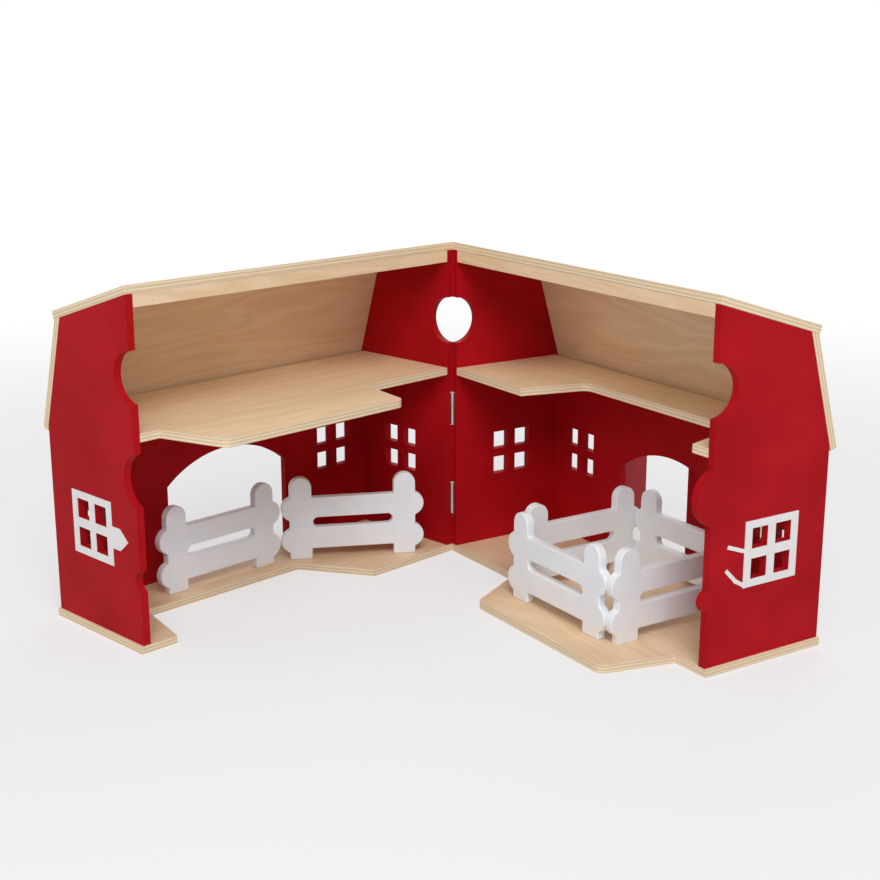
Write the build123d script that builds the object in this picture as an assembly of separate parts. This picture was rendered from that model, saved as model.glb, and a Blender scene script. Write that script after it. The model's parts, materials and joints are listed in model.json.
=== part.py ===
# Folding wooden toy barn with six loose fences.
# The barn splits along its ridge into two halves that fold on two hinges at one end.
# Everything is drawn closed first: X runs along the ridge from the hinge end, the right half
# lies at +Y and the left half at -Y, and Z is up. Each half is then turned about the fold pin
# to the half-open rest position, and the whole part is centred on its own footprint.

import os
from math import atan2, cos, degrees, hypot, radians, sin

from build123d import *

# Barn shell, in millimetres
barn_length = 310.0
half_depth = 106.0
board = 6.0
eave_height = 147.0
knee_depth = 82.0
knee_height = 228.0
ridge_height = 253.5
loft_top = 158.0
roof_overhang = 5.0
floor_margin = 1.5
split_gap = 0.2
ridge_batten_width = 6.0
ridge_batten_height = 9.5

# Tongues that lock the closed halves together
tongue_clearance = 0.6
tongue_corner = 7.0
floor_tongue_depth = 56.0
floor_tongue_from_hinge_end = 90.0
floor_tongue_from_outer_end = 29.0
floor_tongue_hinge_slant = 32.0
floor_tongue_outer_slant = 13.0
loft_tongue_depth = 54.0
loft_tongue_from_hinge_end = 96.0
loft_tongue_from_outer_end = 22.0
loft_tongue_hinge_slant = 12.0
loft_tongue_outer_slant = 16.0
upper_lobe_radius = 20.0
upper_lobe_height = 125.0
upper_lobe_reach = 13.0
lower_lobe_radius = 8.0
lower_lobe_height = 53.0
lower_lobe_reach = 5.0

# Round gable opening and carrying slots
gable_hole_radius = 18.5
gable_hole_height = 197.0
handle_length = 81.0
handle_width = 26.5
handle_from_ridge = 12.8
handle_corner = 9.0

# Windows
pane = 14.5
pane_bar = 7.0
window_frame_side = 6.5
window_frame_top = 5.5
window_height = 81.0
window_leaf_gap = 12.2
gable_window_inset = 55.5
paint_relief = 0.4
mark_width = 16.0
mark_reach = 19.0
mark_drop = 2.0
mark_stroke = 2.8
upper_stroke_rise = 3.0
upper_stroke_lift = 5.0
upper_stroke_reach = 14.0
lower_stroke_drop = 21.0
lower_stroke_knee_lift = 4.0
lower_stroke_knee_reach = 7.0
lower_stroke_lift = 12.0
lower_stroke_reach = 15.0

# Doorway and door leaves
doorway_width = 118.0
doorway_top = 101.5
doorway_radius = 92.0
leaf_overlap = 17.0
leaf_top = 105.0
leaf_radius = 117.0
leaf_thickness = 5.0
leaf_wall_gap = 1.5
leaf_floor_gap = 1.0
leaf_centre_gap = 2.0
leaf_frame = 6.0
leaf_slats = 4
leaf_slat_width = 7.8
leaf_rail_height = 39.0
leaf_rail_width = 5.0
door_hinge_heights = (22.0, 67.0)
door_hinge_height = 9.0
door_hinge_sheet = 0.6
door_knuckle_radius = 1.4
door_pin_radius = 0.6
door_pin_from_wall = 3.0
door_plate_width = 5.5
door_pin_proud = 0.3

# Fold hinges
fold_hinge_heights = (46.5, 123.0)
fold_hinge_height = 26.0
fold_hinge_sheet = 1.0
fold_hinge_width = 14.0
fold_knuckle_radius = 2.2
fold_pin_radius = 1.0
knuckle_gap = 0.3
running_clearance = 0.05
fold_pin_setback = 0.15
fold_pin_proud = 0.6
mortise_clearance = 0.15

# Screws
screw_radius = 0.9
screw_head_radius = 2.0
screw_head_height = 0.9
screw_length = 5.0
roof_screw_radius = 1.2
roof_screw_head_radius = 2.1
roof_screw_length = 20.0
roof_screw_down = 0.44

# Fences
fence_length = 117.0
fence_height = 69.0
fence_thickness = 7.0
post_width = 18.0
lobe_radius = 10.0
lobe_reach = 7.0
lobe_heights = (15.5, 42.5)
fence_rail_bottom = 8.6
fence_rail_top = 52.0
fence_slot_length = 65.0
fence_slot_height = 8.0
fence_slot_middle = 31.0
fence_gap = 0.4
row_gap = 1.2

# Rest position, in degrees from closed
fold_rest = 77.0
door_rest = {"left_near": 135.0, "left_far": 80.0, "right_near": 120.0, "right_far": 8.0}

# Where the fences stand
pen_from_hinge_end = 184.0
pen_from_split = 33.0
row_from_hinge_end = 187.0
row_from_split = 72.0
slant_fence_angle = 35.0

fold_pin_x = -fold_pin_setback
leaf_inner = half_depth + leaf_wall_gap
leaf_outer = leaf_inner + leaf_thickness
leaf_edge = (barn_length - doorway_width) / 2 - leaf_overlap
window_width = 2 * pane + pane_bar + 2 * window_frame_side
window_tall = 2 * pane + pane_bar + 2 * window_frame_top
wall_window_inset = leaf_edge - window_leaf_gap - window_width / 2
sides = {"left": -1, "right": 1}
overshoot = 1.0
same_place = 0.01
nodes = {}


def block(x0, x1, y0, y1, z0, z1):
    centre = Pos((x0 + x1) / 2, (y0 + y1) / 2, (z0 + z1) / 2)
    return centre * Box(abs(x1 - x0), abs(y1 - y0), abs(z1 - z0))


def plan_plate(points, bottom, thickness):
    face = make_face(Polyline(*points, close=True))
    return Pos(0, 0, bottom) * extrude(face, thickness, dir=(0, 0, 1))


def section_bar(points, start, length):
    face = make_face(Polyline(*[(start, y, z) for y, z in points], close=True))
    return extrude(face, length, dir=(1, 0, 0))


def rod_x(x0, x1, y, z, radius):
    return Pos((x0 + x1) / 2, y, z) * Rot(0, 90, 0) * Cylinder(radius, abs(x1 - x0))


def rod_y(x, y0, y1, z, radius):
    return Pos(x, (y0 + y1) / 2, z) * Rot(90, 0, 0) * Cylinder(radius, abs(y1 - y0))


def rod_z(x, y, z0, z1, radius):
    return Pos(x, y, (z0 + z1) / 2) * Cylinder(radius, z1 - z0)


# A tongue grows from the split line towards `way`, with two rounded corners at its tip
def tongue(start, end, start_slant, end_slant, depth, way, bottom, grow=0.0):
    root = -way * board
    points = [(start, root), (start, 0), (start + start_slant, way * depth),
              (end - end_slant, way * depth), (end, 0), (end, root)]
    face = make_face(Polyline(*points, close=True))
    tips = [v for v in face.vertices() if abs(v.Y - way * depth) < same_place]
    face = fillet(tips, tongue_corner)
    if grow:
        face = offset(face, grow)
    return Pos(0, 0, bottom) * extrude(face, board, dir=(0, 0, 1))


def floor_tongue(grow=0.0):
    return tongue(floor_tongue_from_hinge_end, barn_length - floor_tongue_from_outer_end,
                  floor_tongue_hinge_slant, floor_tongue_outer_slant, floor_tongue_depth, -1, 0, grow)


def loft_tongue(grow=0.0):
    return tongue(loft_tongue_from_hinge_end, barn_length - loft_tongue_from_outer_end,
                  loft_tongue_hinge_slant, loft_tongue_outer_slant, loft_tongue_depth, 1,
                  loft_top - board, grow)


def floor_board(name, side):
    wall_edge = side * (half_depth + floor_margin)
    plate = block(0, barn_length + floor_margin, side * split_gap / 2, wall_edge, 0, board)
    if side > 0:
        return plate + floor_tongue()
    return plate - floor_tongue(tongue_clearance)


def loft_board(name, side):
    plate = block(board, barn_length - board, side * split_gap / 2, side * (half_depth - board),
                  loft_top - board, loft_top)
    if side < 0:
        return plate + loft_tongue()
    return plate - loft_tongue(tongue_clearance)


# Four square holes, given by the centre of the window and the direction through the board
def pane_holes(x, y, z, across):
    step = (pane + pane_bar) / 2
    reach = board * 3
    holes = []
    for column in (-step, step):
        for row in (-step, step):
            if across == "x":
                holes.append(Pos(x, y + column, z + row) * Box(reach, pane, pane))
            else:
                holes.append(Pos(x + column, y, z + row) * Box(pane, reach, pane))
    return holes


def lobe(radius, height, reach, x0, x1, grow=0.0):
    return rod_x(x0, x1, radius - reach, height, radius + grow)


def outer_lobes(grow=0.0):
    x0 = barn_length - board
    x1 = barn_length
    upper = lobe(upper_lobe_radius, upper_lobe_height, upper_lobe_reach, x0, x1, grow)
    lower = lobe(lower_lobe_radius, lower_lobe_height, lower_lobe_reach, x0, x1, grow)
    return [upper, lower]


def gable(side, start):
    edge = side * split_gap / 2
    ridge_fall = (ridge_height - knee_height) / knee_depth
    outline = [(edge, board), (side * half_depth, board), (side * half_depth, eave_height),
               (side * knee_depth, knee_height), (edge, ridge_height - ridge_fall * split_gap / 2)]
    plate = section_bar(outline, start, board)
    plate -= rod_x(start - overshoot, start + board + overshoot, 0, gable_hole_height, gable_hole_radius)
    for hole in pane_holes(start + board / 2, side * gable_window_inset, window_height, "x"):
        plate -= hole
    return plate


def hinge_gable(name, side):
    plate = gable(side, 0)
    for middle in fold_hinge_heights:
        for pocket in fold_mortise(side, middle):
            plate -= pocket
    for screw in fold_screws(side, running_clearance):
        plate -= screw
    for screw in roof_screws(side, board / 2, running_clearance):
        plate -= screw
    return plate


def outer_gable(name, side):
    plate = gable(side, barn_length - board)
    for screw in roof_screws(side, barn_length - board / 2, running_clearance):
        plate -= screw
    if side > 0:
        for piece in outer_lobes():
            plate += piece
    else:
        for piece in outer_lobes(tongue_clearance):
            plate -= piece
    return plate


# A block with straight sides under one round arch about the middle of the barn's length
def arched_block(x0, x1, y0, y1, bottom, top, radius):
    body = block(x0, x1, y0, y1, bottom, top)
    return body & rod_y(barn_length / 2, y0, y1, top - radius, radius)


def long_wall(name, side):
    inner = side * (half_depth - board)
    outer = side * half_depth
    wall = block(board, barn_length - board, inner, outer, board, eave_height)
    left_jamb = (barn_length - doorway_width) / 2
    wall -= arched_block(left_jamb, left_jamb + doorway_width, inner - side * overshoot,
                         outer + side * overshoot, board - overshoot, doorway_top, doorway_radius)
    for x in (wall_window_inset, barn_length - wall_window_inset):
        for hole in pane_holes(x, side * (half_depth - board / 2), window_height, "y"):
            wall -= hole
    return wall


# Directions along and out of the steep lower roof board, in the Y-Z section
steep_run = hypot(half_depth - knee_depth, knee_height - eave_height)
steep_along = ((knee_depth - half_depth) / steep_run, (knee_height - eave_height) / steep_run)
steep_out = (steep_along[1], -steep_along[0])
# Directions along and out of the shallow upper roof board
shallow_run = hypot(knee_depth, ridge_height - knee_height)
shallow_along = (knee_depth / shallow_run, (knee_height - ridge_height) / shallow_run)
shallow_out = (-shallow_along[1], shallow_along[0])


def steep_point(along, out):
    y = half_depth + steep_along[0] * along + steep_out[0] * out
    z = eave_height + steep_along[1] * along + steep_out[1] * out
    return (y, z)


def shallow_point(along, out):
    y = shallow_along[0] * along + shallow_out[0] * out
    z = ridge_height + shallow_along[1] * along + shallow_out[1] * out
    return (y, z)


# How far past the knee the outer face of the lower board meets the underside of the upper one
turn = atan2(shallow_along[1], shallow_along[0]) - atan2(steep_along[1], steep_along[0])
knee_reach = board / abs(sin(turn))
knee_rise = board / abs(sin(turn)) * abs(cos(turn))


def roof_lower(name, side):
    points = [steep_point(-roof_overhang, 0), steep_point(-roof_overhang, board),
              steep_point(steep_run - knee_rise, board), steep_point(steep_run, 0)]
    panel = section_bar([(side * y, z) for y, z in points], 0, barn_length)
    for x in (board / 2, barn_length - board / 2):
        for screw in roof_screws(side, x, running_clearance):
            panel -= screw
    return panel


def roof_upper(name, side):
    points = [shallow_point(0, 0), shallow_point(shallow_run + knee_reach + overshoot, 0),
              shallow_point(shallow_run + knee_reach + overshoot, board), shallow_point(0, board)]
    panel = section_bar([(side * y, z) for y, z in points], 0, barn_length)
    ridge_top = ridge_height + board / shallow_along[0]
    wedge = [(0, ridge_height), (0, ridge_top), (shallow_point(0, board)[0], shallow_point(0, board)[1])]
    panel += section_bar([(side * y, z) for y, z in wedge], 0, barn_length)
    panel -= block(-overshoot, barn_length + overshoot, -half_depth * side, side * split_gap / 2,
                   ridge_height - board, ridge_top + board)
    return panel - handle_slot(side)


# A strip glued under the upper roof board, along the split and between the gables
def ridge_batten(name, side):
    inner = split_gap / 2
    outer = inner + ridge_batten_width
    low = ridge_height - ridge_batten_height
    fall = (ridge_height - knee_height) / knee_depth
    points = [(inner, low), (outer, low), (outer, ridge_height - fall * outer),
              (inner, ridge_height - fall * inner)]
    return section_bar([(side * y, z) for y, z in points], board, barn_length - 2 * board)


# A D-shaped slot: square corners by the ridge and round ones away from it
def handle_slot(side):
    near = handle_from_ridge
    far = near + handle_width
    middle = barn_length / 2
    outline = Rectangle(handle_length, handle_width)
    rounded = [v for v in outline.vertices() if v.Y * side > 0]
    outline = fillet(rounded, handle_corner)
    face_plane = Plane(origin=(middle, 0, ridge_height), x_dir=(1, 0, 0),
                       z_dir=(0, side * shallow_out[0], shallow_out[1]))
    slot = face_plane * Pos(0, side * (near + far) / 2, -overshoot) * outline
    return extrude(slot, board + 2 * overshoot, dir=face_plane.z_dir)


def roof_screws(side, x, grow=0.0):
    down = steep_run * (1 - roof_screw_down)
    y, z = steep_point(down, board)
    into = Plane(origin=(x, side * y, z), x_dir=(1, 0, 0), z_dir=(0, -side * steep_out[0], -steep_out[1]))
    head = into * Pos(0, 0, screw_head_height / 2) * Cylinder(roof_screw_head_radius + grow, screw_head_height)
    shank = into * Pos(0, 0, roof_screw_length / 2) * Cylinder(roof_screw_radius + grow, roof_screw_length)
    return [head + shank]


def window_plate(width_axis, x, y, z, out):
    depth = paint_relief
    if width_axis == "y":
        plate = Pos(x + out * depth / 2, y, z) * Box(depth, window_width, window_tall)
    else:
        plate = Pos(x, y + out * depth / 2, z) * Box(window_width, depth, window_tall)
    for hole in pane_holes(x, y, z, "x" if width_axis == "y" else "y"):
        plate -= hole
    return plate


def wall_windows(name, side):
    return [window_plate("x", x, side * half_depth, window_height, side)
            for x in (wall_window_inset, barn_length - wall_window_inset)]


def hinge_gable_window(name, side):
    return window_plate("y", 0, side * gable_window_inset, window_height, -1)


# A thin bar of paint on an outer gable, between two points given as distance from the split and height
def stroke(side, d0, z0, d1, z1):
    lean = side * degrees(atan2(z1 - z0, d1 - d0))
    middle = Pos(barn_length + paint_relief / 2, side * (d0 + d1) / 2, (z0 + z1) / 2)
    return middle * Rot(lean, 0, 0) * Box(paint_relief, hypot(d1 - d0, z1 - z0) + mark_stroke, mark_stroke)


# The outer windows carry a small white mark on the side of the split line
def outer_gable_window(name, side):
    plate = window_plate("y", barn_length, side * gable_window_inset, window_height, 1)
    edge = gable_window_inset - window_width / 2
    if side < 0:
        middle = window_height - mark_drop
        half = mark_width / 2
        points = [(edge + overshoot, -half), (edge - mark_reach / 2, -half), (edge - mark_reach, 0),
                  (edge - mark_reach / 2, half), (edge + overshoot, half)]
        outline = [(side * d, middle + z) for d, z in points]
        return plate + section_bar(outline, barn_length, paint_relief)
    upper = window_height + upper_stroke_rise
    lower = window_height - lower_stroke_drop
    knee = (edge - lower_stroke_knee_reach, lower + lower_stroke_knee_lift)
    plate += stroke(side, edge - upper_stroke_reach, upper + upper_stroke_lift, edge, upper)
    plate += stroke(side, knee[0], knee[1], edge, lower)
    plate += stroke(side, edge - lower_stroke_reach, lower + lower_stroke_lift, knee[0], knee[1])
    return plate


def roof_screw_group(name, side):
    return roof_screws(side, board / 2) + roof_screws(side, barn_length - board / 2)


# Fold hinges: the left leaf holds the outer knuckles and the right leaf the middle one, and each
# leaf lies flush in its gable
def fold_leaf(side, middle):
    third = fold_hinge_height / 3
    low = middle - fold_hinge_height / 2
    high = middle + fold_hinge_height / 2
    inner_low = low + third
    inner_high = high - third
    clear = fold_knuckle_radius + knuckle_gap
    plate = block(0, fold_hinge_sheet, side * clear, side * (clear + fold_hinge_width), low, high)
    if side > 0:
        spans = [(inner_low + knuckle_gap / 2, inner_high - knuckle_gap / 2)]
    else:
        spans = [(low, inner_low - knuckle_gap / 2), (inner_high + knuckle_gap / 2, high)]
    for z0, z1 in spans:
        plate += block(0, fold_hinge_sheet, side * knuckle_gap, side * (clear + overshoot), z0, z1)
        plate += rod_z(fold_pin_x, 0, z0, z1, fold_knuckle_radius)
    plate -= rod_z(fold_pin_x, 0, low - overshoot, high + overshoot, fold_pin_radius + running_clearance)
    for screw in fold_screws(side, running_clearance):
        plate -= screw
    return plate


# The shallow pocket for a leaf, and the round one in which its knuckles turn
def fold_mortise(side, middle):
    clear = fold_knuckle_radius + knuckle_gap
    reach = fold_hinge_height / 2 + mortise_clearance
    pocket = block(-overshoot, fold_hinge_sheet, 0, side * (clear + fold_hinge_width + mortise_clearance),
                   middle - reach, middle + reach)
    reach = fold_hinge_height / 2 + fold_pin_proud + knuckle_gap
    return [pocket, rod_z(fold_pin_x, 0, middle - reach, middle + reach, clear)]


def fold_screws(side, grow=0.0):
    screws = []
    y = side * (fold_knuckle_radius + knuckle_gap + fold_hinge_width * 0.55)
    for middle in fold_hinge_heights:
        for z in (middle - fold_hinge_height * 0.3, middle + fold_hinge_height * 0.3):
            head = Pos(screw_head_height / 2, y, z) * Rot(0, 90, 0) * Cone(
                screw_head_radius + grow, screw_radius + grow, screw_head_height)
            shank = rod_x(screw_head_height / 2, screw_length, y, z, screw_radius + grow)
            screws.append(head + shank)
    return screws


def fold_pins():
    reach = fold_hinge_height / 2 + fold_pin_proud
    return [rod_z(fold_pin_x, 0, z - reach, z + reach, fold_pin_radius) for z in fold_hinge_heights]


# Door leaves, drawn shut, with the near leaf hinged towards the fold and the far one away from it
def leaf_span(place, inset=0.0):
    middle = barn_length / 2
    edge = leaf_edge + inset
    free = middle - leaf_centre_gap / 2 - inset
    if place == "near":
        return (edge, free)
    return (2 * middle - edge, 2 * middle - free)


def leaf_shape(side, place, d0, d1, inset=0.0):
    x0, x1 = leaf_span(place, inset)
    bottom = board + leaf_floor_gap + inset
    return arched_block(min(x0, x1), max(x0, x1), side * d0, side * d1, bottom,
                        leaf_top - inset, leaf_radius - inset)


def door_leaf(side, place):
    return leaf_shape(side, place, leaf_inner, leaf_outer)


# White frame, slats, rail and crossed braces on the outside of a leaf
def door_print(side, place):
    d0 = leaf_outer
    d1 = leaf_outer + paint_relief
    whole = leaf_shape(side, place, d0, d1)
    inside = leaf_shape(side, place, d0 - overshoot, d1 + overshoot, leaf_frame)
    lines = whole - inside
    x0, x1 = sorted(leaf_span(place, leaf_frame))
    low = board + leaf_floor_gap + leaf_frame
    rail = board + leaf_rail_height
    lines += block(x0 - overshoot, x1 + overshoot, side * d0, side * d1,
                   rail - leaf_rail_width / 2, rail + leaf_rail_width / 2)
    gap = (x1 - x0 - leaf_slats * leaf_slat_width) / (leaf_slats + 1)
    for index in range(leaf_slats):
        start = x0 + gap + index * (gap + leaf_slat_width)
        slat = block(start, start + leaf_slat_width, side * d0, side * d1, rail, leaf_top)
        lines += slat & whole
    top = rail - leaf_rail_width / 2
    reach = hypot(x1 - x0, top - low)
    lean = degrees(atan2(top - low, x1 - x0))
    field = block(x0, x1, side * d0, side * d1, low, top)
    for way in (-1, 1):
        brace = Pos((x0 + x1) / 2, side * (d0 + d1) / 2, (low + top) / 2) * Rot(0, way * lean, 0)
        lines += (brace * Box(reach, paint_relief, leaf_rail_width)) & field
    return lines


# The door hinges hide behind the leaves, with only the knuckles showing beside their edges
def door_pin_place(place):
    x = leaf_edge - knuckle_gap - door_knuckle_radius
    if place == "far":
        x = barn_length - x
    return x, half_depth + door_pin_from_wall


def door_way(place):
    return 1 if place == "near" else -1


def door_plates(side, place):
    pin_x, pin_d = door_pin_place(place)
    way = door_way(place)
    back = leaf_inner - door_hinge_sheet
    edge = pin_x + way * (door_knuckle_radius + knuckle_gap)
    plates = []
    for z in door_hinge_heights:
        low = z - door_hinge_height / 2
        high = z + door_hinge_height / 2
        split = z + knuckle_gap / 2
        pad = block(edge, edge + way * door_plate_width, side * back, side * leaf_inner, low, high)
        neck = block(pin_x, edge, side * back, side * (pin_d - door_pin_radius - door_hinge_sheet / 2),
                     split, high)
        barrel = rod_z(pin_x, side * pin_d, split, high, door_knuckle_radius)
        bore = rod_z(pin_x, side * pin_d, low - overshoot, high + overshoot,
                     door_pin_radius + running_clearance)
        plates.append(pad + neck + barrel - bore)
    return plates


def door_wall_plates(side, place):
    pin_x, pin_d = door_pin_place(place)
    way = door_way(place)
    reach = door_knuckle_radius + knuckle_gap + door_plate_width
    plates = []
    for z in door_hinge_heights:
        low = z - door_hinge_height / 2
        high = z + door_hinge_height / 2
        split = z - knuckle_gap / 2
        pad = block(pin_x - way * door_hinge_sheet, pin_x + way * reach, side * half_depth,
                    side * (half_depth + door_hinge_sheet), low, high)
        riser = block(pin_x - way * door_hinge_sheet, pin_x + way * door_hinge_sheet, side * half_depth,
                      side * pin_d, low, split)
        barrel = rod_z(pin_x, side * pin_d, low, split, door_knuckle_radius)
        bore = rod_z(pin_x, side * pin_d, low - overshoot, high + overshoot,
                     door_pin_radius + running_clearance)
        plates.append(pad + riser + barrel - bore)
    return plates


def door_pins(side, place):
    pin_x, pin_d = door_pin_place(place)
    reach = door_hinge_height / 2 + door_pin_proud
    return [rod_z(pin_x, side * pin_d, z - reach, z + reach, door_pin_radius) for z in door_hinge_heights]


# Turns a shut door piece about its pin to its rest angle
def swing(shape, side, place, angle):
    pin_x, pin_d = door_pin_place(place)
    turn_way = side * door_way(place)
    pivot = Pos(pin_x, side * pin_d, 0)
    return pivot * Rot(0, 0, turn_way * angle) * pivot.inverse() * shape


# One fence: two lobed posts with round knobs, joined by rails with a slot between them
def fence():
    half = fence_length / 2 - lobe_reach
    inner = half - post_width
    y0 = -fence_thickness / 2
    y1 = fence_thickness / 2
    shape = block(-inner - overshoot, inner + overshoot, y0, y1, fence_rail_bottom, fence_rail_top)
    for way in (-1, 1):
        knob = post_width / 2
        shape += block(way * inner, way * half, y0, y1, 0, fence_height - knob)
        shape += rod_y(way * (inner + knob), y0, y1, fence_height - knob, knob)
        for z in lobe_heights:
            shape += rod_y(way * (half + lobe_reach - lobe_radius), y0, y1, z, lobe_radius)
    slot_end = fence_slot_height / 2
    reach = fence_slot_length / 2 - slot_end
    shape -= block(-reach, reach, y0 - overshoot, y1 + overshoot,
                   fence_slot_middle - slot_end, fence_slot_middle + slot_end)
    for way in (-1, 1):
        shape -= rod_y(way * reach, y0 - overshoot, y1 + overshoot, fence_slot_middle, slot_end)
    return shape


# Four fences butt round a square pen on the right floor, and two stand in a row on the left
def fence_places():
    inner = fence_length - fence_thickness + fence_gap
    arm = (inner + fence_thickness) / 2
    slip = (fence_thickness + fence_gap) / 2
    x = pen_from_hinge_end
    d = pen_from_split
    row_x = row_from_hinge_end
    row_d = row_from_split
    row_end = row_x - fence_length / 2 - row_gap
    slant = radians(slant_fence_angle)
    return {
        "pen_front_fence": ("right", x - slip, d - arm, 0.0),
        "pen_outer_fence": ("right", x + arm, d - slip, 90.0),
        "pen_wall_fence": ("right", x + slip, d + arm, 180.0),
        "pen_inner_fence": ("right", x - arm, d + slip, 270.0),
        "row_fence": ("left", row_x, row_d, 0.0),
        "slant_fence": ("left", row_end - fence_thickness / 2 * sin(slant) - fence_length / 2 * cos(slant),
                        row_d - fence_length / 2 * sin(slant), slant_fence_angle),
    }


def standing_fence(side, x, d, angle):
    return Pos(x, side * d, board) * Rot(0, 0, side * angle) * fence()


# Turns a closed half about the fold pin, with the pin at the origin
def open_half(side):
    return Rot(0, 0, -90 + side * fold_rest / 2) * Pos(-fold_pin_x, 0, 0)


def build():
    makers = [("floor", floor_board), ("hinge_gable", hinge_gable), ("outer_gable", outer_gable),
              ("long_wall", long_wall), ("roof_lower", roof_lower), ("roof_upper", roof_upper),
              ("ridge_batten", ridge_batten), ("loft", loft_board), ("wall_windows", wall_windows),
              ("hinge_gable_window", hinge_gable_window), ("outer_gable_window", outer_gable_window),
              ("roof_screws", roof_screw_group)]
    for label, side in sides.items():
        turned = open_half(side)
        for name, maker in makers:
            place_node(label + "_" + name, maker(name, side), turned)
        for level, middle in zip(("lower", "upper"), fold_hinge_heights):
            place_node(level + "_fold_hinge_" + label, fold_leaf(side, middle), turned)
        place_node(label + "_fold_screws", fold_screws(side), turned)
        for place in ("near", "far"):
            name = label + "_" + place
            angle = door_rest[name]
            for kind, maker in (("door", door_leaf), ("door_print", door_print),
                                ("door_plates", door_plates)):
                shapes = as_list(maker(side, place))
                shapes = [swing(shape, side, place, angle) for shape in shapes]
                place_node(name + "_" + kind, shapes, turned)
            place_node(name + "_wall_plates", door_wall_plates(side, place), turned)
            place_node(name + "_door_pins", door_pins(side, place), turned)
    place_node("fold_pins", fold_pins(), open_half(-1))
    for name, (label, x, d, angle) in fence_places().items():
        side = sides[label]
        place_node(name, standing_fence(side, x, d, angle), open_half(side))


def as_list(shapes):
    return shapes if isinstance(shapes, list) else [shapes]


def place_node(name, shapes, turned):
    nodes[name] = [turned * shape for shape in as_list(shapes)]


# Centres the part on its footprint and writes one file for each node
def write():
    everything = Compound(children=[solid for shapes in nodes.values() for shape in shapes
                                    for solid in shape.solids()])
    box = everything.bounding_box()
    shift = Pos(-(box.min.X + box.max.X) / 2, -(box.min.Y + box.max.Y) / 2, 0)
    os.makedirs("parts", exist_ok=True)
    for name, shapes in nodes.items():
        solids = [shift * solid for shape in shapes for solid in shape.solids()]
        export_step(solids[0] if len(solids) == 1 else Compound(children=solids), "parts/" + name + ".step")
    print("size", round(box.size.X, 3), round(box.size.Y, 3), round(box.max.Z - box.min.Z, 3), "low", box.min.Z)
    print("fold pin", round(shift.position.X, 4), round(shift.position.Y, 4))
    for label, side in sides.items():
        for place in ("near", "far"):
            pin_x, pin_d = door_pin_place(place)
            spot = (shift * open_half(side) * Pos(pin_x, side * pin_d, 0)).position
            print(label, place, "door pin", round(spot.X, 4), round(spot.Y, 4))


build()
write()
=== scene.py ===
import json
from math import cos, pi, radians, sin

import bmesh
import bpy
from mathutils import Matrix, Vector

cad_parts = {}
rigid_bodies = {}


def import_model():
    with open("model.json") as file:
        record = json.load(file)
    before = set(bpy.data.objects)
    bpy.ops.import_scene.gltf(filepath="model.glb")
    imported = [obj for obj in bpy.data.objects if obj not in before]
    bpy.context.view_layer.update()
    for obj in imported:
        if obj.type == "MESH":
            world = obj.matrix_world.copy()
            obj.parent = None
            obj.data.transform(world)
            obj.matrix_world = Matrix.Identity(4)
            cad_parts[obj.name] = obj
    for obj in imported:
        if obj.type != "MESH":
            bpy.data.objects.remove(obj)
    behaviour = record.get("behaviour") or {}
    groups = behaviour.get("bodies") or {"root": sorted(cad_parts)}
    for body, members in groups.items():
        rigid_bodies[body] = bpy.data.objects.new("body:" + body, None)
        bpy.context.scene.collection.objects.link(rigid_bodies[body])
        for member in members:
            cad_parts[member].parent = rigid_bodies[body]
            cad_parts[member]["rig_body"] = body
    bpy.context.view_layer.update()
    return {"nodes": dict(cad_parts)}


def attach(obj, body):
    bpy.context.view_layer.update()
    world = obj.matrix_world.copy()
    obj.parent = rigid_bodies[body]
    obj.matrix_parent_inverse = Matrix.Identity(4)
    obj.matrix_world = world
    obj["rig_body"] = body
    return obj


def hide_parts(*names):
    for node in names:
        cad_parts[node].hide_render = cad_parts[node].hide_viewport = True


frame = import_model()
nodes = frame["nodes"]

# The fold pin's place, the angle between the halves at rest, and the sizes that the screws are set by
barn = {"pin": (0.0011787, 0.0834645), "restFold": 77.0, "pinSetback": 0.00015, "board": 0.006,
        "eaveDepth": 0.106, "eaveHeight": 0.147, "kneeDepth": 0.082, "kneeHeight": 0.228,
        "length": 0.310}
sides = {"left": -1, "right": 1}


def srgb(red, green, blue):
    def linear(value):
        value = value / 255
        return value / 12.92 if value <= 0.04045 else ((value + 0.055) / 1.055) ** 2.4
    return (linear(red), linear(green), linear(blue), 1.0)


def alongHalf(side):
    turn = radians(-90 + side * barn["restFold"] / 2)
    return Vector((cos(turn), sin(turn), 0))


def outOfHalf(side):
    turn = radians(-90 + side * barn["restFold"] / 2)
    return side * Vector((-sin(turn), cos(turn), 0))


# A point given along the ridge, out from the split and up, as the half stands at rest
def halfPoint(side, along, out, up):
    start = Vector((barn["pin"][0], barn["pin"][1], up))
    return start + alongHalf(side) * (along + barn["pinSetback"]) + outOfHalf(side) * out


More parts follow.
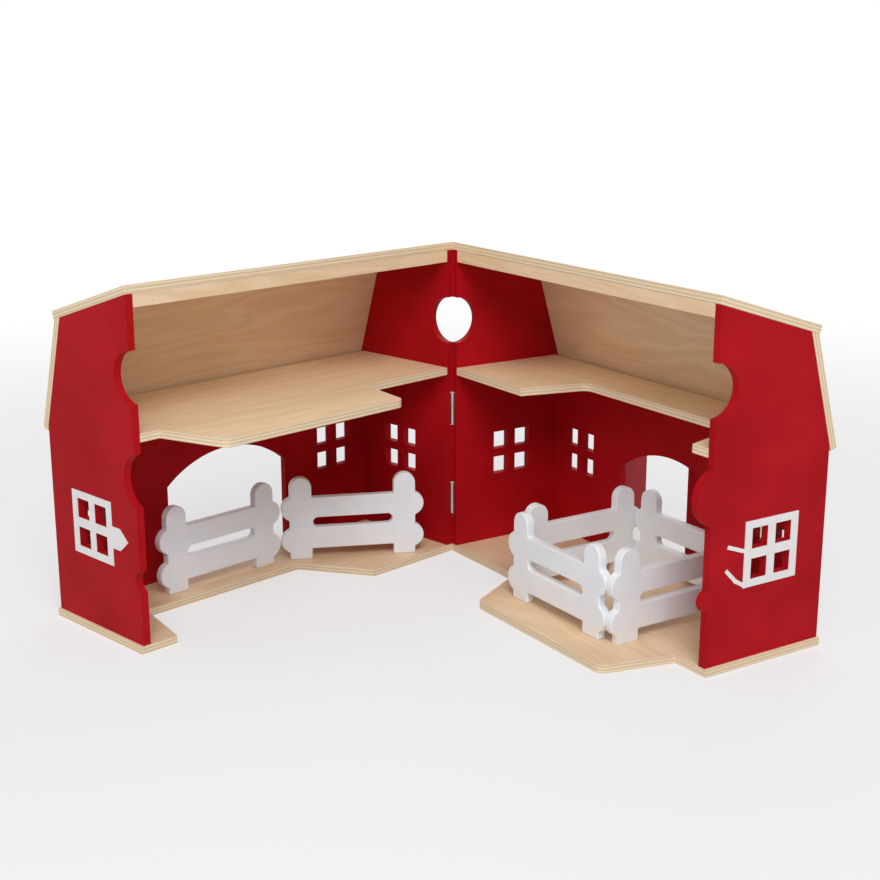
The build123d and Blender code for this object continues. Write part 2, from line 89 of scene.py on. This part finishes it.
# A shader value with ordinary arithmetic
class Wire:
    def __init__(self, tree, socket=None):
        self.tree = tree
        self.socket = socket

    def add(self, kind, settings=None, inputs=None, output=0):
        node = self.tree.nodes.new(kind)
        for key, value in (settings or {}).items():
            if key == "stops":
                ramp = node.color_ramp
                while len(ramp.elements) < len(value):
                    ramp.elements.new(0.5)
                for element, (place, colour) in zip(ramp.elements, value):
                    element.position = place
                    element.color = colour
            else:
                setattr(node, key, value)
        for key, value in (inputs or {}).items():
            if isinstance(value, Wire):
                self.tree.links.new(value.socket, node.inputs[key])
            else:
                node.inputs[key].default_value = value
        return Wire(self.tree, node.outputs[output])

    def maths(self, operation, first, second=0.0):
        return self.add("ShaderNodeMath", {"operation": operation}, {0: first, 1: second})

    def __add__(self, other):
        return self.maths("ADD", self, other)

    def __radd__(self, other):
        return self.maths("ADD", other, self)

    def __sub__(self, other):
        return self.maths("SUBTRACT", self, other)

    def __rsub__(self, other):
        return self.maths("SUBTRACT", other, self)

    def __mul__(self, other):
        return self.maths("MULTIPLY", self, other)

    def __rmul__(self, other):
        return self.maths("MULTIPLY", other, self)

    def __truediv__(self, other):
        return self.maths("DIVIDE", self, other)

    def clamped(self):
        return self.add("ShaderNodeClamp", None, {"Value": self})

    def between(self, low, high):
        return self.add("ShaderNodeMapRange", {"interpolation_type": "SMOOTHSTEP"},
                        {"Value": self, "From Min": low, "From Max": high})

    def blend(self, first, second):
        return self.add("ShaderNodeMix", {"data_type": "RGBA"}, {"Factor": self, 6: first, 7: second}, 2)

    def stretched(self, scale):
        return self.add("ShaderNodeMapping", None, {"Vector": self, "Scale": scale})

    def noise(self, scale, detail=2.0, roughness=0.5, distortion=0.0):
        return self.add("ShaderNodeTexNoise", None, {"Vector": self, "Scale": scale, "Detail": detail,
                                                     "Roughness": roughness, "Distortion": distortion})


def newMaterial(name):
    material = bpy.data.materials.new(name)
    material.use_nodes = True
    shader = material.node_tree.nodes["Principled BSDF"]
    return material, Wire(material.node_tree), shader


# Joins what varies to the shader, and sets the rest on its sockets
def dress(wire, shader, colour, roughness, height, bump, fixed):
    for key, value in {"Base Color": colour, "Roughness": roughness}.items():
        if isinstance(value, Wire):
            wire.tree.links.new(value.socket, shader.inputs[key])
        else:
            shader.inputs[key].default_value = value
    relief = {"Strength": bump[0], "Distance": bump[1], "Height": height}
    normal = wire.add("ShaderNodeBump", None, relief)
    wire.tree.links.new(normal.socket, shader.inputs["Normal"])
    for key, value in fixed.items():
        shader.inputs[key].default_value = value


# Scales are counts per metre along the grain, across it and through the board
birch = {"light": (241, 214, 180), "mid": (231, 199, 160), "dark": (212, 174, 132),
         "fleck": (168, 126, 84), "roughness": 0.56, "bump": (0.25, 0.00015), "specular": 0.35,
         "drift": (5, 34, 1), "rings": 62, "wander": 5.5, "fibre": (30, 1500, 1), "cloud": (9, 22, 1),
         "flecks": (150, 2300, 1)}


# Rotary-cut birch veneer: wide soft figure, fine fibre and short dark flecks along the grain
def birchFace():
    material, wire, shader = newMaterial("birchFace")
    grain = wire.add("ShaderNodeUVMap", {"uv_map": "grain"})
    drift = grain.stretched(birch["drift"]).noise(1.0, 3, 0.55, 0.8)
    across = grain.add("ShaderNodeSeparateXYZ", None, {"Vector": grain}, 1)
    waves = (across * birch["rings"] + drift * birch["wander"]) * 2 * pi
    figure = wire.maths("SINE", waves) * 0.5 + 0.5
    fibre = grain.stretched(birch["fibre"]).noise(1.0, 4, 0.65)
    cloud = grain.stretched(birch["cloud"]).noise(1.0, 2, 0.5)
    fleck = grain.stretched(birch["flecks"]).noise(1.0, 1, 0.4).between(0.69, 0.76)
    soft = (figure * 0.34 + fibre * 0.42 + cloud * 0.34).clamped()
    colour = soft.between(0.2, 0.9).blend(srgb(*birch["light"]), srgb(*birch["mid"]))
    colour = (fibre.between(0.52, 0.8) * 0.45).blend(colour, srgb(*birch["dark"]))
    colour = (fleck * 0.4).blend(colour, srgb(*birch["fleck"]))
    dress(wire, shader, colour, fibre * 0.2 + (birch["roughness"] - 0.1), fibre - fleck * 0.5,
          birch["bump"], {"Specular IOR Level": birch["specular"]})
    return material


plyEdge = {"ply": 0.0012, "long": (244, 226, 196), "end": (228, 202, 166), "glue": (176, 140, 102),
           "roughness": 0.68, "bump": (0.35, 0.0002), "specular": 0.3, "wander": (60, 60, 1),
           "pores": (2600, 1500, 1), "streak": (120, 2600, 1)}


# Cut edge of the plywood: long-grain plies between darker end-grain ones, with thin glue lines
def birchEdge():
    material, wire, shader = newMaterial("birchEdge")
    grain = wire.add("ShaderNodeUVMap", {"uv_map": "grain"})
    wander = grain.stretched(plyEdge["wander"]).noise(1.0, 2, 0.5)
    height = grain.add("ShaderNodeSeparateXYZ", None, {"Vector": grain}, 1) / plyEdge["ply"]
    height = height + (wander - 0.5) * 0.22
    parity = wire.maths("PINGPONG", height, 1.0)
    endGrain = parity.between(0.42, 0.58)
    glue = 1 - wire.maths("ABSOLUTE", parity - 0.5).between(0.03, 0.1)
    pores = grain.stretched(plyEdge["pores"]).noise(1.0, 2, 0.6)
    streak = grain.stretched(plyEdge["streak"]).noise(1.0, 2, 0.6)
    colour = endGrain.blend(srgb(*plyEdge["long"]), srgb(*plyEdge["end"]))
    colour = (pores.between(0.5, 0.75) * endGrain * 0.5).blend(colour, srgb(*plyEdge["glue"]))
    colour = (streak.between(0.5, 0.8) * 0.2).blend(colour, srgb(*plyEdge["end"]))
    colour = (glue * 0.4).blend(colour, srgb(*plyEdge["glue"]))
    dress(wire, shader, colour, plyEdge["roughness"], pores * endGrain - glue, plyEdge["bump"],
          {"Specular IOR Level": plyEdge["specular"]})
    return material


redPaint = {"colour": (182, 16, 27), "deep": (166, 11, 21), "rubbed": (202, 48, 52), "roughness": 0.5,
            "bump": (0.18, 0.00012), "specular": 0.09, "cloud": 18.0, "stipple": 1400.0, "scuff": 60.0,
            "fibre": (26, 1100, 1), "wornEdge": 0.35, "wornFace": 0.12}


# Satin red paint rolled over plywood: the veneer's grain still shows through as faint relief
def redBoard(name, onEdge=False):
    material, wire, shader = newMaterial(name)
    grain = wire.add("ShaderNodeUVMap", {"uv_map": "grain"})
    place = wire.add("ShaderNodeTexCoord", None, None, "Object")
    cloud = place.noise(redPaint["cloud"], 3, 0.5)
    stipple = place.noise(redPaint["stipple"], 2, 0.6)
    if onEdge:
        layers = grain.add("ShaderNodeSeparateXYZ", None, {"Vector": grain}, 1) / plyEdge["ply"]
        relief = wire.maths("PINGPONG", layers, 1.0).between(0.3, 0.7) * 0.8 + stipple * 0.5
    else:
        relief = grain.stretched(redPaint["fibre"]).noise(1.0, 4, 0.65) * 0.9 + stipple * 0.35
    colour = cloud.between(0.3, 0.7).blend(srgb(*redPaint["colour"]), srgb(*redPaint["deep"]))
    scuff = place.noise(redPaint["scuff"], 4, 0.7).between(0.68, 0.8)
    worn = redPaint["wornEdge"] if onEdge else redPaint["wornFace"]
    colour = (scuff * worn).blend(colour, srgb(*redPaint["rubbed"]))
    dress(wire, shader, colour, relief * 0.1 + cloud * 0.12 + (redPaint["roughness"] - 0.08), relief,
          redPaint["bump"], {"Specular IOR Level": redPaint["specular"]})
    return material


whitePaint = {"colour": (245, 248, 252), "shade": (238, 242, 248), "roughness": 0.4,
              "bump": (0.2, 0.00015), "specular": 0.45, "cloud": 40.0, "peel": 620.0,
              "fibre": (30, 900, 1)}


# White spray paint on the fences, a little cool, with a fine orange peel
def fencePaint():
    material, wire, shader = newMaterial("fencePaint")
    grain = wire.add("ShaderNodeUVMap", {"uv_map": "grain"})
    place = wire.add("ShaderNodeTexCoord", None, None, "Object")
    cloud = place.noise(whitePaint["cloud"], 3, 0.5)
    peel = place.noise(whitePaint["peel"], 2, 0.5)
    fibre = grain.stretched(whitePaint["fibre"]).noise(1.0, 3, 0.6)
    colour = cloud.between(0.3, 0.75).blend(srgb(*whitePaint["colour"]), srgb(*whitePaint["shade"]))
    dress(wire, shader, colour, cloud * 0.16 + (whitePaint["roughness"] - 0.08), peel * 0.7 + fibre * 0.5,
          whitePaint["bump"], {"Specular IOR Level": whitePaint["specular"]})
    return material


printInk = {"colour": (238, 236, 236), "thin": (226, 205, 207), "roughness": 0.5, "bump": (0.2, 0.0001),
            "specular": 0.4, "cloud": 90.0, "grit": 2200.0}


# Screen-printed white: solid, with a few thin spots where the red shows through
def printWhite():
    material, wire, shader = newMaterial("printWhite")
    place = wire.add("ShaderNodeTexCoord", None, None, "Object")
    cloud = place.noise(printInk["cloud"], 3, 0.6)
    grit = place.noise(printInk["grit"], 2, 0.6)
    thin = (cloud.between(0.5, 0.8) * 0.5 + grit.between(0.6, 0.8) * 0.3).clamped()
    colour = thin.blend(srgb(*printInk["colour"]), srgb(*printInk["thin"]))
    dress(wire, shader, colour, cloud * 0.15 + (printInk["roughness"] - 0.07), grit, printInk["bump"],
          {"Specular IOR Level": printInk["specular"]})
    return material


plating = {"colour": (198, 196, 192), "dull": (180, 177, 172), "roughness": 0.34,
           "bump": (0.06, 0.00003), "cloud": 260.0, "brush": (900, 900, 9000)}


# Zinc-plated sheet and wire, lightly brushed and unevenly dulled
def platedMetal():
    material, wire, shader = newMaterial("platedMetal")
    place = wire.add("ShaderNodeTexCoord", None, None, "Object")
    cloud = place.noise(plating["cloud"], 3, 0.6)
    brushed = place.stretched(plating["brush"]).noise(1.0, 2, 0.6)
    colour = cloud.between(0.35, 0.75).blend(srgb(*plating["colour"]), srgb(*plating["dull"]))
    dress(wire, shader, colour, cloud * 0.1 + brushed * 0.08 + (plating["roughness"] - 0.09), brushed,
          plating["bump"], {"Metallic": 1.0})
    return material


finishes = {"birch": (birchFace(), birchEdge()),
            "red": (redBoard("redFace"), redBoard("redEdge", True))}
fencePaintMaterial = fencePaint()
finishes["fence"] = (fencePaintMaterial, fencePaintMaterial)
metal = platedMetal()
finishes["metal"] = (metal, metal)
ink = printWhite()
print("materials ready:", len(bpy.data.materials))


# Where the halves meet at the pins: how near a corner counts, and the share of its gap that stays
foldArris = {"reach": 0.0003, "keep": 0.02}
# The weld is in metres and the angles are in degrees; "level" and "broad" are cosines, above which a
# board lies flat and a face is one of its two broad ones
easing = {"weld": 0.000002, "flat": 0.6, "sharp": 32, "crease": 34, "level": 0.95, "broad": 0.7}


# A copy of a CAD piece with its sharp edges eased, and a grain map laid along it
def easedPiece(node, finish, ease, upright=False):
    mesh = bpy.data.meshes.new(node + "_eased")
    work = bmesh.new()
    work.from_mesh(nodes[node].data)
    bmesh.ops.remove_doubles(work, verts=work.verts, dist=easing["weld"])
    bmesh.ops.dissolve_limit(work, angle_limit=radians(easing["flat"]), verts=work.verts, edges=work.edges)
    pin = Vector(barn["pin"])
    atFold = {vert for vert in work.verts if (vert.co.xy - pin).length < foldArris["reach"]}
    for vert in atFold:
        vert.co.xy = pin.lerp(vert.co.xy, foldArris["keep"])
    broadest = max(work.faces, key=lambda face: face.calc_area())
    through = broadest.normal.copy()
    if abs(through.z) > easing["level"]:
        along = alongHalf(sides[node.split("_")[0]] if node.split("_")[0] in sides else 1)
    else:
        along = Vector((0, 0, 1)).cross(through).normalized()
    across = through.cross(along)
    if upright:
        along, across = across, along
    sharp = [edge for edge in work.edges if len(edge.link_faces) == 2
             and edge.calc_face_angle(0) > radians(easing["sharp"]) and not atFold.issuperset(edge.verts)]
    bmesh.ops.bevel(work, geom=sharp, offset=ease["width"], offset_type="OFFSET", affect="EDGES",
                    segments=ease["segments"], profile=0.5, material=-1, clamp_overlap=True)
    grain = work.loops.layers.uv.new("grain")
    floorLevel = min(vert.co.dot(through) for vert in work.verts)
    for face in work.faces:
        broad = abs(face.normal.dot(through)) > easing["broad"]
        face.material_index = 0 if broad else 1
        face.smooth = True
        run = along if abs(face.normal.dot(along)) < easing["broad"] else across
        for loop in face.loops:
            if broad:
                loop[grain].uv = (loop.vert.co.dot(along), loop.vert.co.dot(across))
            else:
                loop[grain].uv = (loop.vert.co.dot(run), loop.vert.co.dot(through) - floorLevel)
    work.to_mesh(mesh)
    work.free()
    mesh.set_sharp_from_angle(angle=radians(easing["crease"]))
    piece = bpy.data.objects.new(node + "_eased", mesh)
    bpy.context.scene.collection.objects.link(piece)
    for material in finishes[finish]:
        mesh.materials.append(material)
    weighted = piece.modifiers.new("flatFaces", "WEIGHTED_NORMAL")
    weighted.keep_sharp = True
    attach(piece, nodes[node]["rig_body"])
    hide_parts(node)
    return piece


boards = {"floor": ("birch", "bare_wood", False), "loft": ("birch", "bare_wood", False),
          "roof_lower": ("birch", "bare_wood", False), "roof_upper": ("birch", "bare_wood", False),
          "ridge_batten": ("birch", "bare_wood", False),
          "long_wall": ("red", "painted_wall", False), "hinge_gable": ("red", "painted_wall", True),
          "outer_gable": ("red", "painted_wall", True)}
boardEase = {"width": 0.0004, "segments": 2}
for label in sides:
    for name, (finish, slot, upright) in boards.items():
        easedPiece(label + "_" + name, finish, boardEase, upright)
print("boards eased:", 2 * len(boards))

leafEase = {"width": 0.00035, "segments": 2}
plateEase = {"width": 0.00012, "segments": 2}
pinEase = {"width": 0.0002, "segments": 2}
for label in sides:
    for place in ("near", "far"):
        door = label + "_" + place
        easedPiece(door + "_door", "red", leafEase, True)
        easedPiece(door + "_door_plates", "metal", plateEase)
        easedPiece(door + "_wall_plates", "metal", plateEase)
        easedPiece(door + "_door_pins", "metal", pinEase)
print("doors hung: 4")

fenceEase = {"width": 0.0011, "segments": 3}
fences = [name for name in nodes if name.endswith("_fence")]
for name in fences:
    easedPiece(name, "fence", fenceEase)
print("fences eased:", len(fences))

for name in ("lower_fold_hinge_left", "lower_fold_hinge_right", "upper_fold_hinge_left",
             "upper_fold_hinge_right"):
    easedPiece(name, "metal", plateEase)
easedPiece("fold_pins", "metal", pinEase)

printed = [name for name in nodes if name.endswith(("print", "window", "windows"))]
for name in printed:
    nodes[name].data.materials.clear()
    nodes[name].data.materials.append(ink)
print("printed skins:", len(printed))

screwHead = {"dome": 0.00035, "crossReach": 0.62, "crossWidth": 0.17, "crossDepth": 0.0005,
             "crossTaper": 0.72, "crown": 0.82, "crownDrop": 0.4, "steps": 24, "crease": 38,
             "hair": 0.00001}


# A low domed screw head with a cross recess, standing at the origin and facing +Z; its foot can be
# narrower, as on a countersunk screw
def screwHeadMesh(radius, thickness, foot):
    work = bmesh.new()
    reach = radius * screwHead["crossReach"]
    half = radius * screwHead["crossWidth"]
    top = thickness
    corners = []
    for quarter in range(4):
        turn = Matrix.Rotation(quarter * pi / 2, 4, "Z")
        for x, y in ((half, half), (half, reach), (-half, reach)):
            corners.append(work.verts.new(turn @ Vector((x, y, top))))
    cross = work.faces.new(corners)
    if cross.normal.z < 0:
        cross.normal_flip()
    rimEdges = list(cross.edges)
    sunk = bmesh.ops.extrude_face_region(work, geom=[cross])
    bottom = [item for item in sunk["geom"] if isinstance(item, bmesh.types.BMVert)]
    bmesh.ops.translate(work, verts=bottom, vec=(0, 0, -screwHead["crossDepth"]))
    bmesh.ops.scale(work, verts=bottom, vec=(screwHead["crossTaper"], screwHead["crossTaper"], 1))
    lid = [face for face in work.faces if face.calc_center_median().z > top - screwHead["hair"]]
    bmesh.ops.delete(work, geom=lid, context="FACES_ONLY")
    ring = bmesh.ops.create_circle(work, cap_ends=False, radius=radius * screwHead["crown"],
                                   segments=screwHead["steps"])
    crownTop = top - screwHead["dome"] * screwHead["crownDrop"]
    bmesh.ops.translate(work, verts=ring["verts"], vec=(0, 0, crownTop))
    ringEdges = list({edge for vert in ring["verts"] for edge in vert.link_edges})
    rim = [edge for edge in rimEdges if edge.is_valid]
    bmesh.ops.bridge_loops(work, edges=rim + ringEdges)
    skirt = bmesh.ops.extrude_edge_only(work, edges=ringEdges)
    lower = [item for item in skirt["geom"] if isinstance(item, bmesh.types.BMVert)]
    bmesh.ops.scale(work, verts=lower, vec=(1 / screwHead["crown"], 1 / screwHead["crown"], 1))
    bmesh.ops.translate(work, verts=lower, vec=(0, 0, -screwHead["dome"]))
    lowerEdges = [item for item in skirt["geom"] if isinstance(item, bmesh.types.BMEdge)]
    skirt = bmesh.ops.extrude_edge_only(work, edges=lowerEdges)
    lowest = [item for item in skirt["geom"] if isinstance(item, bmesh.types.BMVert)]
    for vert in lowest:
        vert.co = (vert.co.x * foot, vert.co.y * foot, 0)
    footEdges = [item for item in skirt["geom"] if isinstance(item, bmesh.types.BMEdge)]
    bmesh.ops.contextual_create(work, geom=footEdges)
    bmesh.ops.recalc_face_normals(work, faces=work.faces)
    for face in work.faces:
        face.smooth = True
    return work


# Several heads in one piece, each given by its seat, the way it faces and its turn
def screwGroup(name, seats, screw):
    mesh = bpy.data.meshes.new(name)
    whole = bmesh.new()
    for seat, facing, turn in seats:
        head = screwHeadMesh(screw["radius"], screw["thickness"], screw["foot"])
        stand = facing.to_track_quat("Z", "Y").to_matrix().to_4x4() @ Matrix.Rotation(turn, 4, "Z")
        bmesh.ops.transform(head, matrix=Matrix.Translation(seat) @ stand, verts=head.verts)
        step = bpy.data.meshes.new("step")
        head.to_mesh(step)
        head.free()
        whole.from_mesh(step)
        bpy.data.meshes.remove(step)
    whole.to_mesh(mesh)
    whole.free()
    mesh.set_sharp_from_angle(angle=radians(screwHead["crease"]))
    mesh.materials.append(metal)
    piece = bpy.data.objects.new(name, mesh)
    bpy.context.scene.collection.objects.link(piece)
    return piece


foldScrews = {"out": 0.0102, "heights": (0.0387, 0.0543, 0.1152, 0.1308), "radius": 0.002,
              "thickness": 0.0009, "foot": 0.5, "turns": (0.3, 1.1, 0.7, 0.1)}
roofScrews = {"share": 0.56, "radius": 0.0021, "thickness": 0.0009, "foot": 1.0, "sunk": 0.00085,
              "turns": (0.4, 0.9)}
for label, side in sides.items():
    seats = [(halfPoint(side, foldScrews["thickness"], foldScrews["out"], up), -alongHalf(side), turn)
             for up, turn in zip(foldScrews["heights"], foldScrews["turns"])]
    piece = screwGroup(label + "_fold_screw_heads", seats, foldScrews)
    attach(piece, label + "_half")
    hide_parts(label + "_fold_screws")
    rise = Vector((barn["kneeDepth"] - barn["eaveDepth"], barn["kneeHeight"] - barn["eaveHeight"]))
    steepOut = Vector((rise.y, -rise.x)).normalized()
    spot = Vector((barn["eaveDepth"], barn["eaveHeight"])) + rise * roofScrews["share"]
    spot += steepOut * (barn["board"] - roofScrews["sunk"])
    facing = outOfHalf(side) * steepOut.x + Vector((0, 0, steepOut.y))
    seats = [(halfPoint(side, along, spot.x, spot.y), facing, turn) for along, turn in
             zip((barn["board"] / 2, barn["length"] - barn["board"] / 2), roofScrews["turns"])]
    piece = screwGroup(label + "_roof_screw_heads", seats, roofScrews)
    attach(piece, label + "_half")
    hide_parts(label + "_roof_screws")
print("screws driven")

stage = {"size": 9.0, "colour": (0.76, 0.76, 0.77, 1), "roughness": 0.85, "specular": 0.1,
         "fadeFrom": 0.42, "fadeTo": 1.4, "paler": 0.55}


# Pale floor that fades to the white backdrop well behind the barn
def floorMaterial():
    material, wire, shader = newMaterial("studioFloor")
    shader.inputs["Base Color"].default_value = stage["colour"]
    shader.inputs["Roughness"].default_value = stage["roughness"]
    shader.inputs["Specular IOR Level"].default_value = stage["specular"]
    place = wire.add("ShaderNodeTexCoord", None, None, "Object")
    distance = place.add("ShaderNodeVectorMath", {"operation": "LENGTH"}, {0: place}, "Value")
    path = wire.tree.nodes.new("ShaderNodeLightPath")
    seen = (Wire(wire.tree, path.outputs["Is Camera Ray"]) + Wire(wire.tree, path.outputs["Is Glossy Ray"])
            + Wire(wire.tree, path.outputs["Is Transmission Ray"])).clamped()
    fade = distance.between(stage["fadeFrom"], stage["fadeTo"]) * (1 - stage["paler"]) + stage["paler"]
    fade = fade * seen
    glow = wire.add("ShaderNodeEmission", None, {"Color": (1, 1, 1, 1), "Strength": 1.0})
    plain = Wire(wire.tree, shader.outputs[0])
    mixed = wire.add("ShaderNodeMixShader", None, {"Fac": fade, 1: plain, 2: glow})
    output = wire.tree.nodes["Material Output"]
    wire.tree.links.new(mixed.socket, output.inputs["Surface"])
    return material


floorMesh = bpy.data.meshes.new("studio_floor")
work = bmesh.new()
bmesh.ops.create_grid(work, x_segments=1, y_segments=1, size=stage["size"])
work.to_mesh(floorMesh)
work.free()
floorMesh.materials.append(floorMaterial())
studioFloor = bpy.data.objects.new("studio_floor", floorMesh)
bpy.context.scene.collection.objects.link(studioFloor)

worldLight = {"strength": 0.38}
world = bpy.data.worlds.new("studio")
bpy.context.scene.world = world
world.use_nodes = True
wire = Wire(world.node_tree)
path = world.node_tree.nodes.new("ShaderNodeLightPath")
seen = (Wire(wire.tree, path.outputs["Is Camera Ray"]) + Wire(wire.tree, path.outputs["Is Glossy Ray"])
        + Wire(wire.tree, path.outputs["Is Transmission Ray"])).clamped()
strength = seen * (1 - worldLight["strength"]) + worldLight["strength"]
world.node_tree.nodes["Background"].inputs["Color"].default_value = (1, 1, 1, 1)
world.node_tree.links.new(strength.socket, world.node_tree.nodes["Background"].inputs["Strength"])

# Each lamp is aimed at the middle of the barn
lampAim = (0, 0, 0.1)
lamps = {"key": {"from": (0.3, -1.6, 1.65), "size": 1.1, "power": 28.5},
         "fill": {"from": (-1.3, -1.1, 1.1), "size": 1.3, "power": 3.5},
         "back": {"from": (0.2, 1.5, 1.6), "size": 1.4, "power": 9.0}}
for name, lamp in lamps.items():
    light = bpy.data.lights.new(name, "AREA")
    light.size = lamp["size"]
    light.energy = lamp["power"]
    holder = bpy.data.objects.new(name, light)
    bpy.context.scene.collection.objects.link(holder)
    holder.location = lamp["from"]
    holder.rotation_euler = (Vector(lampAim) - Vector(lamp["from"])).to_track_quat("-Z", "Y").to_euler()

# The photo's viewing angle, fitted to the barn's corners in it
view = {"from": (0.1124, -1.1015, 0.4123), "at": (-0.0006, 0.0003, 0.118), "lens": 61.0, "sensor": 36.0}
camera = bpy.data.cameras.new("camera")
camera.lens = view["lens"]
camera.sensor_width = view["sensor"]
viewer = bpy.data.objects.new("camera", camera)
bpy.context.scene.collection.objects.link(viewer)
viewer.location = view["from"]
viewer.rotation_euler = (Vector(view["at"]) - Vector(view["from"])).to_track_quat("-Z", "Y").to_euler()
bpy.context.scene.camera = viewer
bpy.context.scene.view_settings.view_transform = "Standard"

print("scene ready")
